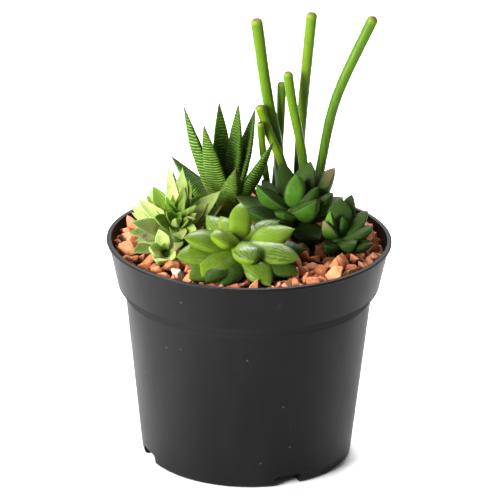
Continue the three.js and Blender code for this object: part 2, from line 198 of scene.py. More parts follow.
class Finish:
    """A material under construction. Each value asked for may be a socket or a plain value."""

    def __init__(self, name):
        self.material = bpy.data.materials.new(name)
        self.material.use_nodes = True
        self.tree = self.material.node_tree
        self.tree.nodes.clear()
        self.shader = self.add("ShaderNodeBsdfPrincipled")
        output = self.add("ShaderNodeOutputMaterial")
        self.tree.links.new(self.shader.outputs[0], output.inputs["Surface"])

    def add(self, kind, **settings):
        node = self.tree.nodes.new(kind)
        for key, value in settings.items():
            setattr(node, key, value)
        return node

    def feed(self, node, name, value):
        socket = node.inputs[name]
        if isinstance(value, bpy.types.NodeSocket):
            self.tree.links.new(value, socket)
        elif isinstance(value, tuple) and len(value) == 3 and socket.type == "RGBA":
            socket.default_value = (*value, 1)
        else:
            socket.default_value = value

    def set(self, **values):
        """Sets the shader's inputs, each by its name with underscores for spaces."""
        for name, value in values.items():
            self.feed(self.shader, name.replace("_", " "), value)

    def place(self):
        return self.add("ShaderNodeTexCoord").outputs["Object"]

    def attribute(self, name):
        """The three numbers that a piece carries at each of its points under this name."""
        node = self.add("ShaderNodeAttribute", attribute_name=name)
        return self.split(node.outputs["Vector"])

    def math(self, operation, a, b=0.0, c=0.0):
        node = self.add("ShaderNodeMath", operation=operation)
        for index, value in enumerate((a, b, c)):
            self.feed(node, index, value)
        return node.outputs[0]

    def times(self, a, b):
        return self.math("MULTIPLY", a, b)

    def split(self, vector):
        node = self.add("ShaderNodeSeparateXYZ")
        self.feed(node, 0, vector)
        return node.outputs

    def fade(self, value, low, high, to_low=0.0, to_high=1.0):
        """A smooth turn from to_low to to_high as the value goes from low to high."""
        node = self.add("ShaderNodeMapRange", interpolation_type="SMOOTHSTEP")
        for name, number in (("Value", value), ("From Min", low), ("From Max", high),
                             ("To Min", to_low), ("To Max", to_high)):
            self.feed(node, name, number)
        return node.outputs[0]

    def blend(self, share, a, b):
        """Colour a where the share is 0, turning to b where it is 1."""
        node = self.add("ShaderNodeMix", data_type="RGBA")
        self.feed(node, 0, share)
        self.feed(node, 6, a)
        self.feed(node, 7, b)
        return node.outputs[2]

    def noise(self, place, scale, detail=3.0, roughness=0.55):
        node = self.add("ShaderNodeTexNoise")
        for name, value in (("Vector", place), ("Scale", scale), ("Detail", detail),
                            ("Roughness", roughness)):
            self.feed(node, name, value)
        return node.outputs[0]

    def cells(self, place, scale):
        node = self.add("ShaderNodeTexVoronoi")
        self.feed(node, "Vector", place)
        self.feed(node, "Scale", scale)
        return node.outputs

    def combine(self, x, y, z):
        node = self.add("ShaderNodeCombineXYZ")
        for index, value in enumerate((x, y, z)):
            self.feed(node, index, value)
        return node.outputs[0]

    def stretch(self, place, scale):
        node = self.add("ShaderNodeMapping")
        self.feed(node, "Vector", place)
        node.inputs["Scale"].default_value = scale
        return node.outputs[0]

    def bump(self, height, distance, strength):
        node = self.add("ShaderNodeBump")
        self.feed(node, "Height", height)
        self.feed(node, "Distance", distance)
        self.feed(node, "Strength", strength)
        return node.outputs[0]


def pot_plastic():
    """Moulded dark grey plastic: satin, faintly clouded, with dust specks and fine scuffs."""
    finish = Finish("moulded_dark_plastic")
    place = finish.place()
    height = finish.split(place)[2]
    cloud = finish.noise(finish.stretch(place, (1, 1, 0.35)), 45, 5)
    grain = finish.noise(place, 2600, 2)
    plastic = finish.blend(finish.fade(cloud, 0.3, 0.7), (0.0048, 0.0048, 0.0052), (0.0068, 0.0068, 0.0073))

    # Dust specks, and scuffs where the plastic is cloudy.
    speck_cells = finish.cells(place, 330)
    speck_size = finish.fade(speck_cells["Distance"], 0.1, 0.16, 1.0, 0.0)
    speck_draw = finish.split(speck_cells["Color"])[0]
    speck = finish.times(speck_size, finish.math("GREATER_THAN", speck_draw, 0.965))
    scuff_field = finish.noise(finish.stretch(place, (1, 1, 0.12)), 900, 2)
    scuff = finish.times(finish.fade(scuff_field, 0.68, 0.76), finish.fade(cloud, 0.5, 0.62))
    dusty = finish.blend(finish.times(speck, 0.35), plastic, (0.13, 0.125, 0.12))
    marked = finish.blend(finish.times(scuff, 0.16), dusty, (0.09, 0.09, 0.09))

    # The sloping underside of the collar gets a lighter painted band, standing in for the light the floor
    # throws up on it, and a rougher surface.
    ledge = finish.times(finish.fade(height, (LEDGE_HEIGHT - 1.5) * MM, (LEDGE_HEIGHT + 0.2) * MM),
                         finish.fade(height, (COLLAR_HEIGHT + 1.5) * MM, COLLAR_HEIGHT * MM))
    painted_ledge_light = finish.blend(finish.times(ledge, 0.8), marked, (0.011, 0.011, 0.0115))

    # Brick dust on the inside of the collar, whose two faces are told apart by their radius less the flare.
    reach = finish.add("ShaderNodeVectorMath", operation="LENGTH")
    finish.feed(reach, 0, finish.stretch(place, (1, 1, 0)))
    flare = (RIM_RADIUS - LIP_OVERHANG - COLLAR_RADIUS) / (POT_HEIGHT - LIP_DEPTH - COLLAR_HEIGHT)
    upright = finish.math("MULTIPLY_ADD", height, -flare, reach.outputs[1])
    outside = COLLAR_RADIUS - flare * COLLAR_HEIGHT
    inside = finish.fade(upright, (outside - 0.5 * WALL) * MM, (outside - 0.7 * WALL) * MM)
    below_lip = finish.fade(height, POT_HEIGHT * MM, (POT_HEIGHT - LIP_DEPTH) * MM)
    above_soil = finish.math("GREATER_THAN", height, SOIL_TOP * MM)
    brick_dust = finish.times(finish.times(inside, below_lip),
                              finish.times(above_soil, finish.fade(cloud, 0.3, 0.6, 0.6, 0.95)))
    dusted = finish.blend(brick_dust, painted_ledge_light, (0.03, 0.011, 0.005))

    roughness = finish.math("ADD", finish.fade(cloud, 0.3, 0.7, 0.4, 0.5), finish.times(ledge, 0.45))
    relief = finish.math("ADD", finish.times(grain, 0.35), cloud)
    finish.set(Base_Color=dusted, Roughness=roughness, Specular_IOR_Level=0.1,
               Normal=finish.bump(relief, 0.00012, 0.35))
    return finish.material


def potting_soil():
    """Dark peat soil, damp and crumbly."""
    finish = Finish("peat_soil")
    place = finish.place()
    crumb = finish.noise(place, 420, 6, 0.7)
    bits = finish.cells(place, 700)
    damp = finish.blend(finish.fade(crumb, 0.35, 0.68), (0.012, 0.007, 0.004), (0.06, 0.036, 0.022))
    crumbly = finish.blend(finish.fade(bits["Distance"], 0.1, 0.3, 0.35, 0.0), damp, (0.1, 0.06, 0.035))
    finish.set(Base_Color=crumbly, Roughness=0.95, Specular_IOR_Level=0.2,
               Normal=finish.bump(crumb, 0.0012, 0.9))
    return finish.material


def crushed_terracotta():
    """Broken brick clay: each stone has its own tint, a powdery pale bloom, pores and broken grain."""
    finish = Finish("crushed_terracotta")
    place = finish.place()
    tint, pale, shade = finish.attribute("stone")
    grain = finish.noise(place, 750, 6, 0.65)
    patches = finish.noise(place, 260, 3)
    pores = finish.cells(place, 1500)
    warm = finish.blend(tint, (0.42, 0.108, 0.034), (0.65, 0.24, 0.1))
    bloom = finish.blend(finish.fade(patches, 0.45, 0.72, 0.0, 0.55), warm, (0.7, 0.33, 0.17))
    speckled = finish.blend(finish.fade(grain, 0.36, 0.5, 0.5, 0.0), bloom, (0.2, 0.05, 0.02))
    stone = finish.blend(pale, speckled, (0.62, 0.46, 0.36))
    # The shade number darkens a few stones to their own near-black, and on the bed it is painted shade in
    # the gaps between the stones.
    dark = finish.blend(shade, stone, (0.028, 0.012, 0.008))
    pitted = finish.blend(finish.fade(pores["Distance"], 0.06, 0.22, 0.3, 0.0), dark, (0.12, 0.03, 0.012))
    relief = finish.math("ADD", grain, finish.fade(pores["Distance"], 0.0, 0.3, 0.0, 0.3))
    finish.set(Base_Color=pitted, Roughness=0.92, Specular_IOR_Level=0.25,
               Normal=finish.bump(relief, 0.0006, 0.8))
    return finish.material


def leaf_marks(finish):
    """Where a point lies across, along and round its leaf, and the leaf's own tint, its age, which is partly
    painted shade, and its mark.
    """
    across, along, over = finish.attribute("leaf")
    tint, age, mark = finish.attribute("growth")
    return Kind(across=across, along=along, over=over, tint=tint, age=age, mark=mark, place=finish.place())


def vein_lines(finish, leaf, count, wander, seed=0.0):
    """Fine lines from root to tip, 0 between them and 1 on them, that wander a little and run together."""
    leaf_seed = finish.math("ADD", finish.times(leaf.tint, 37.0), seed)
    drift_place = finish.combine(finish.times(leaf.across, 3.0), finish.times(leaf.along, 7.0), leaf_seed)
    drift = finish.times(finish.math("SUBTRACT", finish.noise(drift_place, 1.3, 2), 0.5), wander)
    wave = finish.math("SINE", finish.times(finish.math("ADD", leaf.across, drift), count))
    return finish.fade(wave, -0.3, 0.75)


def succulent(finish, colour, roughness, normal, glow, glow_reach, shine):
    """A fleshy leaf, into which light goes a little way, green light the furthest."""
    finish.set(Base_Color=colour, Roughness=roughness, Normal=normal, Specular_IOR_Level=shine,
               Subsurface_Weight=glow, Subsurface_Radius=(0.35, 1.0, 0.12), Subsurface_Scale=glow_reach)


def window_leaf():
    """Plump yellow-green leaves, whose upper face ends in a clear window with dark lines."""
    finish = Finish("window_leaf")
    leaf = leaf_marks(finish)
    mottle = finish.noise(leaf.place, 260, 4)
    lines = vein_lines(finish, leaf, 24, 0.35)
    fine = vein_lines(finish, leaf, 50, 0.35, 11.0)
    face = finish.fade(leaf.over, -0.08, 0.16)
    # Older leaves are darker, partly for their age and partly as painted shade on the lower leaves.
    young = finish.blend(leaf.tint, (0.1, 0.178, 0.005), (0.145, 0.232, 0.01))
    old = finish.blend(leaf.tint, (0.026, 0.064, 0.004), (0.04, 0.088, 0.006))
    body = finish.blend(finish.fade(leaf.age, 0.2, 1.0), young, old)
    root_glow = finish.blend(finish.fade(leaf.along, 0.05, 0.6, 0.6, 0.0), body, (0.14, 0.25, 0.003))
    clouded = finish.blend(finish.fade(mottle, 0.42, 0.72, 0.0, 0.35), root_glow, (0.16, 0.23, 0.045))
    greyed = finish.blend(finish.times(face, 0.25), clouded, (0.08, 0.13, 0.016))
    window = finish.times(face, finish.fade(leaf.along, 0.3, 0.6))
    clear = finish.blend(lines, (0.018, 0.045, 0.004), (0.11, 0.165, 0.035))
    lined = finish.times(window, finish.fade(leaf.mark, 0.0, 1.0, 0.14, 0.75))
    glazed = finish.blend(lined, greyed, clear)
    stripes = finish.times(fine, finish.fade(leaf.along, 0.2, 0.6))
    belly = finish.times(stripes, finish.math("SUBTRACT", 0.1, finish.times(face, 0.04)))
    striped = finish.blend(belly, glazed, (0.16, 0.21, 0.05))
    edge = finish.fade(finish.math("ABSOLUTE", leaf.across), 0.97, 0.999, 0.0, 0.28)
    rimmed = finish.blend(edge, striped, (0.18, 0.24, 0.05))
    tip = finish.fade(leaf.along, 0.97, 1.0, 0.0, 0.7)
    tipped = finish.blend(tip, rimmed, (0.26, 0.24, 0.1))
    # Painted shade: the oldest, most shaded leaves darken almost to black-green, and every leaf darkens
    # toward its root, where the leaves crowd at the crown.
    aged_and_shaded = finish.blend(finish.fade(leaf.age, 0.65, 1.0, 0.0, 0.7), tipped, (0.012, 0.032, 0.004))
    coloured = finish.blend(finish.fade(leaf.along, 0.05, 0.34, 0.85, 0.0), aged_and_shaded, (0.012, 0.034, 0.003))
    relief = finish.math("ADD", finish.times(fine, 0.3), mottle)
    roughness = finish.fade(mottle, 0.3, 0.7, 0.24, 0.34)
    succulent(finish, coloured, roughness, finish.bump(relief, 0.0002, 0.3), 0.25, 0.0015, 0.12)
    return finish.material


def pale_leaf():
    """Thin, nearly see-through leaves: green to cream, with faint lines, pale edges and fine dry tips."""
    finish = Finish("pale_leaf")
    leaf = leaf_marks(finish)
    mottle = finish.noise(leaf.place, 300, 4)
    lines = vein_lines(finish, leaf, 17, 0.4)
    fresh = finish.blend(leaf.tint, (0.055, 0.12, 0.002), (0.095, 0.165, 0.004))
    veiled = finish.blend(leaf.tint, (0.12, 0.19, 0.02), (0.19, 0.26, 0.05))
    green = finish.blend(finish.fade(leaf.along, 0.25, 0.95, 0.0, 0.55), fresh, veiled)
    cream = finish.blend(finish.fade(leaf.along, 0.1, 0.8), (0.33, 0.42, 0.05), (0.56, 0.63, 0.28))
    body = finish.blend(leaf.mark, green, cream)
    streak = finish.times(lines, finish.fade(leaf.along, 0.1, 0.5, 0.04, 0.2))
    streaked = finish.blend(streak, body, (0.3, 0.36, 0.12))
    clouded = finish.blend(finish.fade(mottle, 0.42, 0.72, 0.0, 0.35), streaked, (0.12, 0.2, 0.02))
    belly = finish.blend(finish.fade(leaf.over, 0.1, -0.3, 0.0, 0.25), clouded, (0.25, 0.32, 0.1))
    edge = finish.fade(finish.math("ABSOLUTE", leaf.across), 0.93, 0.995, 0.0, 0.5)
    rimmed = finish.blend(edge, belly, (0.36, 0.41, 0.19))
    keel = finish.times(finish.fade(leaf.over, -0.995, -0.93, 0.25, 0.0), finish.fade(leaf.along, 0.2, 0.5))
    keeled = finish.blend(keel, rimmed, (0.36, 0.42, 0.18))
    tip = finish.fade(leaf.along, 0.94, 1.0, 0.0, 0.7)
    tipped = finish.blend(tip, keeled, (0.38, 0.35, 0.18))
    # Painted shade: every leaf darkens toward its root, where the leaves crowd at the crown.
    coloured = finish.blend(finish.fade(leaf.along, 0.03, 0.16, 0.8, 0.0), tipped, (0.025, 0.05, 0.004))
    relief = finish.math("ADD", finish.times(lines, 0.5), mottle)
    roughness = finish.fade(mottle, 0.3, 0.7, 0.36, 0.5)
    succulent(finish, coloured, roughness, finish.bump(relief, 0.0002, 0.4), 0.4, 0.0025, 0.08)
    return finish.material


def dark_leaf():
    """Deep green leaves: bright bellies, dull dark upper faces, a pale thread along edge and keel."""
    finish = Finish("dark_leaf")
    leaf = leaf_marks(finish)
    mottle = finish.noise(leaf.place, 240, 4)
    lines = vein_lines(finish, leaf, 30, 0.25)
    belly = finish.blend(leaf.tint, (0.033, 0.098, 0.008), (0.055, 0.148, 0.014))
    # Painted shade, with some real ageing: the older, lower leaves darken.
    aged_and_shaded = finish.blend(finish.fade(leaf.age, 0.45, 1.0, 0.0, 0.8), belly, (0.014, 0.036, 0.008))
    face = finish.fade(leaf.over, -0.3, -0.2)
    dull = finish.blend(lines, (0.016, 0.026, 0.008), (0.025, 0.038, 0.012))
    window = finish.times(face, finish.fade(leaf.along, 0.1, 0.5, 0.3, 0.85))
    two_faced = finish.blend(window, aged_and_shaded, dull)
    clouded = finish.blend(finish.fade(mottle, 0.45, 0.72, 0.0, 0.35), two_faced, (0.022, 0.05, 0.007))
    thread = finish.times(finish.fade(leaf.over, -0.36, -0.29), finish.fade(leaf.over, -0.2, -0.27))
    edge = finish.times(thread, finish.fade(leaf.along, 0.15, 0.5, 0.1, 0.45))
    rimmed = finish.blend(edge, clouded, (0.12, 0.2, 0.08))
    keel = finish.times(finish.fade(leaf.over, -0.998, -0.97, 0.3, 0.0), finish.fade(leaf.along, 0.2, 0.5))
    keeled = finish.blend(keel, rimmed, (0.09, 0.17, 0.06))
    blush = finish.times(leaf.mark, finish.fade(leaf.along, 0.6, 0.95, 0.0, 0.75))
    blushed = finish.blend(blush, keeled, (0.19, 0.11, 0.07))
    tip = finish.fade(leaf.along, 0.96, 1.0, 0.0, 0.7)
    coloured = finish.blend(tip, blushed, (0.17, 0.15, 0.08))
    relief = finish.math("ADD", finish.times(lines, 0.25), mottle)
    roughness = finish.fade(mottle, 0.3, 0.7, 0.36, 0.5)
    succulent(finish, coloured, roughness, finish.bump(relief, 0.0002, 0.35), 0.2, 0.0015, 0.04)
    return finish.material


def zebra_leaf():
    """Tall pointed leaves with raised pale bands on their backs, and brown tips."""
    finish = Finish("zebra_leaf")
    leaf = leaf_marks(finish)
    mottle = finish.noise(leaf.place, 260, 4)
    fine = finish.noise(leaf.place, 1500, 2)
    green = finish.blend(leaf.tint, (0.02, 0.058, 0.002), (0.035, 0.085, 0.003))
    rooted = finish.blend(finish.fade(leaf.along, 0.05, 0.45, 0.6, 0.0), green, (0.18, 0.24, 0.02))
    clouded = finish.blend(finish.fade(mottle, 0.4, 0.7, 0.0, 0.35), rooted, (0.05, 0.12, 0.006))
    band = finish.fade(leaf.mark, 0.2, 0.8, 0.0, 0.85)
    banded = finish.blend(band, clouded, (0.2, 0.31, 0.065))
    valley = finish.fade(leaf.mark, 0.0, 0.2, 0.45, 0.0)
    shaded = finish.blend(valley, banded, (0.01, 0.045, 0.005))
    tip = finish.fade(leaf.along, 0.84, 0.98, 0.0, 0.8)
    coloured = finish.blend(tip, shaded, (0.12, 0.075, 0.045))
    relief = finish.math("ADD", finish.times(fine, 0.4), mottle)
    roughness = finish.fade(mottle, 0.3, 0.7, 0.36, 0.5)
    succulent(finish, coloured, roughness, finish.bump(relief, 0.0003, 0.4), 0.15, 0.0012, 0.06)
    return finish.material


def pencil_leaf():
    """Round upright leaves: lime toward the tip, darker below, finely lined, with a dry scar on top."""
    finish = Finish("pencil_leaf")
    leaf = leaf_marks(finish)
    mottle = finish.noise(leaf.place, 220, 4)
    streaks = finish.noise(finish.stretch(leaf.place, (1, 1, 0.04)), 1600, 3)
    low = finish.blend(leaf.tint, (0.014, 0.048, 0.001), (0.03, 0.085, 0.002))
    high = finish.blend(leaf.tint, (0.06, 0.135, 0.003), (0.12, 0.2, 0.004))
    body = finish.blend(finish.fade(leaf.along, 0.2, 0.85), low, high)
    streaked = finish.blend(finish.fade(streaks, 0.4, 0.68, 0.0, 0.4), body, (0.11, 0.22, 0.008))
    clouded = finish.blend(finish.fade(mottle, 0.45, 0.7, 0.0, 0.3), streaked, (0.04, 0.13, 0.001))
    tip = finish.fade(leaf.along, 0.965, 0.99, 0.0, 0.5)
    yellowed = finish.blend(tip, clouded, (0.24, 0.26, 0.04))
    scar = finish.fade(leaf.along, 0.992, 0.997, 0.0, 0.9)
    scarred = finish.blend(scar, yellowed, (0.1, 0.05, 0.03))
    # Painted shade: each leaf's lower part, standing among the rosettes, darkens almost to black.
    painted_foot_shade = finish.fade(leaf.along, 0.14, 0.42, 0.85, 0.0)
    coloured = finish.blend(painted_foot_shade, scarred, (0.016, 0.024, 0.006))
    relief = finish.math("ADD", finish.times(streaks, 0.6), mottle)
    roughness = finish.fade(mottle, 0.3, 0.7, 0.34, 0.48)
    succulent(finish, coloured, roughness, finish.bump(relief, 0.0002, 0.4), 0.2, 0.002, 0.16)
    return finish.material


def pale_floor():
    """Matte white card."""
    finish = Finish("pale_floor")
    card = finish.blend(finish.noise(finish.place(), 6, 2), (0.9, 0.9, 0.9), (0.92, 0.92, 0.92))
    finish.set(Base_Color=card, Roughness=0.9, Specular_IOR_Level=0.1)
    return finish.material


# ---------------------------------------------------------------- pot, soil and gravel

def pot_outline():
    """Outline of the pot's wall: up the outside, over the lip and down the inside."""
    floor = FLOOR_RECESS + FLOOR_THICKNESS
    lip_foot = POT_HEIGHT - LIP_DEPTH
    foot_inside = FOOT_RADIUS - FOOT_TAPER - FOOT_WIDTH
    return rounded([
        (0, FLOOR_RECESS, 0),
        (foot_inside - FOOT_SPLAY, FLOOR_RECESS, 0.5),
        (foot_inside, 0, 0.4),
        (FOOT_RADIUS, 0, 2.0),
        *((FOOT_RADIUS + out, up, 0.25) for out, up in FOOT_STEP),
        (LEDGE_RADIUS, LEDGE_HEIGHT, 1.0),
        (COLLAR_RADIUS - 0.1, COLLAR_HEIGHT, 1.2),
        (RIM_RADIUS - LIP_OVERHANG, lip_foot, 0.3),
        (RIM_RADIUS, lip_foot + 0.2, 0.4),
        (RIM_RADIUS, POT_HEIGHT, 0.5),
        (RIM_RADIUS - LIP_OVERHANG - WALL, POT_HEIGHT, 0.4),
        (inner_radius(lip_foot), lip_foot, 0.4),
        (inner_radius(COLLAR_HEIGHT), COLLAR_HEIGHT, 1.2),
        (inner_radius(LEDGE_HEIGHT), LEDGE_HEIGHT, 1.2),
        (inner_radius(floor), floor, 1.0),
        (0, floor, 0),
    ])


def foot_cutters():
    """The notches through the foot ring and the drain holes beside them, as one mesh to cut with."""
    bm = bmesh.new()
    for i in range(NOTCH_COUNT):
        turn = Matrix.Rotation(radians(NOTCH_FIRST + i * 360 / NOTCH_COUNT), 4, "Z")
        size = Matrix.Diagonal((NOTCH_DEPTH, NOTCH_WIDTH, 2 * NOTCH_HEIGHT, 1))
        place = Matrix.Translation((FOOT_RADIUS, 0, 0))
        made = bmesh.ops.create_cube(bm, size=1, matrix=turn @ place @ size)["verts"]
        crown = [e for e in dict.fromkeys(e for v in made for e in v.link_edges)
                 if all(v.co.z > NOTCH_HEIGHT / 2 for v in e.verts)
                 and abs((turn.inverted() @ (e.verts[0].co - e.verts[1].co)).x) > NOTCH_DEPTH / 2]
        bmesh.ops.bevel(bm, geom=crown, offset=NOTCH_ROUNDING, segments=5, profile=0.5, affect="EDGES",
                        material=-1)
        drill = turn @ Matrix.Translation((DRAIN_PLACE, 0, FLOOR_RECESS))
        bmesh.ops.create_cone(bm, cap_ends=True, segments=36, radius1=DRAIN_RADIUS, radius2=DRAIN_RADIUS,
                              depth=DRILL_LENGTH, matrix=drill)
    bmesh.ops.scale(bm, vec=(MM, MM, MM), verts=bm.verts)
    return finished_object("foot_cutters", bm, bpy.data.materials.new("cut"))


def make_pot(material):
    """The pot: its turned wall, less the notches and the drain holes."""
    bm = bmesh.new()
    spin_profile(bm, pot_outline(), POT_STEPS)
    pot = finished_object("moulded_pot", bm, material)
    cutters = foot_cutters()
    cut = pot.modifiers.new("notches", "BOOLEAN")
    cut.operation = "DIFFERENCE"
    cut.solver = "EXACT"
    cut.object = cutters
    whole = bpy.data.meshes.new_from_object(pot.evaluated_get(bpy.context.evaluated_depsgraph_get()))
    pot.modifiers.clear()
    pot.data = whole
    dress(whole, material, POT_CREASE)
    bpy.data.objects.remove(cutters)
    stand_for(pot, "pot")


def make_soil(material):
    """The root ball: smooth against the wall, crumbly on top."""
    floor = FLOOR_RECESS + FLOOR_THICKNESS + SOIL_GAP
    bm = bmesh.new()
    outline = [(0, floor), (inner_radius(floor) - SOIL_GAP, floor)]
    outline += [(inner_radius(z) - SOIL_GAP, z + SOIL_GAP) for z in (LEDGE_HEIGHT, COLLAR_HEIGHT)]
    edge = inner_radius(SOIL_TOP) - SOIL_GAP
    outline += [(edge * share, SOIL_TOP) for share in (1, 0.97, 0.85, 0.7, 0.55, 0.4, 0.25, 0.1, 0)]
    spin_profile(bm, outline, SOIL_STEPS)
    for vert in bm.verts:
        if vert.co.z > (SOIL_TOP - 0.5) * MM:
            vert.co.z -= abs(noise.noise(vert.co / (CRUMB_SIZE * MM))) * CRUMB_DEPTH * MM
    soil = finished_object("root_ball", bm, material, SOIL_CREASE)
    stand_for(soil, "soil")


def bed_height(radius):
    """Top of the gravel under its loose stones, in millimetres."""
    return BED_HEIGHT + BED_MOUND * (1 - (radius / BED_RADIUS) ** 2)


def add_stone(bm, layer, draw, centre, size, look):
    """One crushed stone: the hull of a few points on a squashed ball, with its edges broken."""
    stretch = Vector((draw.uniform(0.9, 1.45), draw.uniform(0.7, 1.05), draw.uniform(0.5, 0.85)))
    turn = Matrix.Rotation(draw.uniform(0, math.tau), 3, Vector((draw.gauss(0, 1), draw.gauss(0, 1), 1.5)))
    tilt = Matrix.Rotation(draw.uniform(-0.6, 0.6), 3, "X")
    corners = []
    for _ in range(STONE_CORNERS):
        spot = Vector((draw.gauss(0, 1), draw.gauss(0, 1), draw.gauss(0, 1))).normalized()
        reach = draw.uniform(0.66, 1.14)
        corners.append(bm.verts.new((centre + tilt @ turn @ (spot * reach * stretch) * size / 2) * MM))
    hull = bmesh.ops.convex_hull(bm, input=corners, use_existing_faces=False)
    inside = [g for g in hull["geom_interior"] if isinstance(g, bmesh.types.BMVert)]
    bmesh.ops.delete(bm, geom=inside, context="VERTS")
    edges = [g for g in hull["geom"] if isinstance(g, bmesh.types.BMEdge) and g.is_valid]
    worn = bmesh.ops.bevel(bm, geom=edges, offset=size * STONE_WEAR * MM, segments=1, profile=0.5,
                           affect="EDGES", material=-1, clamp_overlap=True)
    for vert in {v for f in worn["faces"] for v in f.verts} | {v for v in corners if v.is_valid}:
        vert[layer] = look


def crowded(x, y, size, placed):
    """Whether a stone of this size would lie too close to one that is there already."""
    return any((px - x) ** 2 + (py - y) ** 2 < (STONE_SPACING * (size + other)) ** 2
               for px, py, other in placed)


def grainy_bed(bm, layer):
    """The bed of small grains under the loose stones."""
    shares = (1, 0.97, 0.92, 0.86, 0.8, 0.73, 0.66, 0.58, 0.5, 0.4, 0.3, 0.2, 0.1)
    rings = [BED_RADIUS * share for share in shares]
    outline = [(0, GRAVEL_LOW), (BED_RADIUS, GRAVEL_LOW)] + [(r, bed_height(r)) for r in rings]
    spin_profile(bm, outline + [(0, bed_height(0))], BED_STEPS)
    for vert in bm.verts:
        if vert.co.z > (GRAVEL_LOW + 0.5) * MM:
            vert.co.z += (noise.noise(vert.co / (GRAIN_SIZE * MM)) - 0.2) * GRAIN_HEIGHT * MM
        # Painted shade: the bed is coloured almost black, as the gaps between the stones.
        vert[layer] = (0.0, 0, BED_PAINTED_SHADE)


def make_gravel(material, plants):
    """The bed with loose stones strewn over it, the largest first, clear of the plants."""
    draw = random.Random(GRAVEL_SEED)
    scene_graph = bpy.context.evaluated_depsgraph_get()
    solids = [BVHTree.FromObject(plant, scene_graph) for plant in plants]
    bm = bmesh.new()
    layer = bm.verts.layers.float_vector.new("stone")
    grainy_bed(bm, layer)
    placed = []
    for sizes in [sizes for sizes in STONE_SIZES for _ in range(STONE_TRIES)]:
        size = draw.uniform(*sizes)
        radius = math.sqrt(draw.random()) * (inner_radius(STONE_TOP) - size * 0.5)
        angle = draw.uniform(0, math.tau)
        x, y = radius * math.cos(angle), radius * math.sin(angle)
        if crowded(x, y, size, placed):
            continue
        centre = Vector((x, y, bed_height(radius) + size * draw.uniform(*STONE_RISE)))
        clearance = size * STONE_CLEARANCE * MM
        if any(solid.find_nearest(centre * MM, clearance)[0] is not None for solid in solids):
            continue
        placed.append((x, y, size))
        pale = 0.8 if draw.random() < PALE_STONES else draw.uniform(0, 0.14)
        shade = 0.95 if draw.random() < DARK_STONES else draw.uniform(0, 0.12)
        add_stone(bm, layer, draw, centre, size, (draw.random(), pale, shade))
    gravel = finished_object("crushed_stones", bm, material, STONE_CREASE)
    stand_for(gravel, "gravel")


# ---------------------------------------------------------------- leaves

# How a kind of leaf is shaped. round: where along it is widest. point: how sharply it narrows to its tip.
# foot: its width at the root, against its widest. thick: its depth against its width. keel: from a round
# belly (0) to a sharp keel (1). face: share of the depth above the middle. dish: how far the upper face is
# hollowed. bristle: share of the length that is a fine point. edge: from a thick rounded margin (1) to a
# thin one (2). rings: how many its mesh has, drawn toward its tip by crowd. wobble: unevenness in
# millimetres. bands: how many raised bands cross it.
PLUMP = Kind(round=0.56, point=0.8, foot=0.5, thick=0.72, keel=0.25, face=0.3, dish=0.0, bristle=0.02,
             edge=0.95, rings=32, crowd=1.25, wobble=0.3, bands=0)
THIN = Kind(round=0.46, point=0.86, foot=0.55, thick=0.46, keel=0.6, face=0.1, dish=0.12, bristle=0.04,
            edge=1.3, rings=28, crowd=1.2, wobble=0.5, bands=0)
BROAD = Kind(round=0.54, point=0.68, foot=0.46, thick=0.66, keel=0.5, face=0.2, dish=0.02, bristle=0.02,
             edge=1.15, rings=30, crowd=1.25, wobble=0.3, bands=0)
BANDED = Kind(round=0.3, point=0.95, foot=0.75, thick=0.6, keel=0.3, face=0.25, dish=0.04, bristle=0.02,
              edge=1.1, rings=230, crowd=1.0, wobble=0.2, bands=36)
LEAF_SIDES = 22
BAND_HEIGHT = 0.42
BRISTLE_WIDTH = 0.035
WOBBLE_REACH = 5
CROWN_STEPS = 20
YOUNG_DEPTH = 0.6

# Where each leaf points: (azimuth, rise, length, width), from the youngest leaf to the oldest. A fifth
# number is its mark: how lined a window leaf is, how cream a pale leaf, how blushed a dark leaf. A sixth is
# how old its colour is, where that isn't its place in the order; an old leaf's dark colour is partly painted
# shade, given to leaves that lie in the shadow of others. Leaves listed as young stand in the heart.
# Every leaf turns its upper face toward its plant's facing.
TOWARD_VIEWER = (-0.1, -0.75, 0.65)
TOWARD_SKY = (0.05, -0.4, 0.9)
WINDOW = Kind(kind=PLUMP, crown=(-4, -31, 105.5), stem=7, curl=-12, core=6, facing=TOWARD_SKY, leaves=[
    (70, 9, 8, 4.7), (54, 9, 16, 9), (-143, 23, 16, 10.4), (-69, -6, 17, 12, 1), (89, 41, 20, 9.6),
    (120, 25, 18, 8.4), (-20, -4, 27, 12.4, 0.8, 0.4), (-157, 17, 26, 11.6, 0, 0.5),
    (-56, -21, 25, 12.6, 0.3, 0.6), (-126, -10, 26, 13.6, 0, 0.45), (39, 21, 23, 11, 1, 0.5),
    (130, 23, 24, 10, 0.6, 0.1), (10, 21, 25, 12, 0.2, 0.3), (-154, 5, 29, 13.4, 0, 0.5),
    (-106, -13, 24, 12.6, 0.5, 1), (14, 0, 29, 12, 0.1, 1), (-27, -6, 28, 12, 0.1, 1),
    (-118, -4, 28, 10.6, 0, 1), (-135, -4, 29, 12, 0, 0.8),
])
DARK = Kind(kind=BROAD, crown=(18, 9, 106), stem=6, curl=0, core=6, facing=(0, -0.1, 1), leaves=[
    (-69, 80, 16, 11.5), (-24, 44, 16, 10.5), (-165, 37, 20, 10.5), (-50, 28, 17, 15), (111, 54, 22, 9.5),
    (168, 29, 14.6, 8.5), (43, 63, 23.2, 12), (-109, 18, 13, 11), (162, 11, 26, 11), (-11, 33, 21, 12.5),
    (20, 46, 27.6, 12.5, 0.5), (-157, 16, 22, 12), (128, 28, 24, 9), (24, 15, 25, 13, 0.2),
    (-58, -4, 22, 13.5), (-119, 16, 22, 12),
])
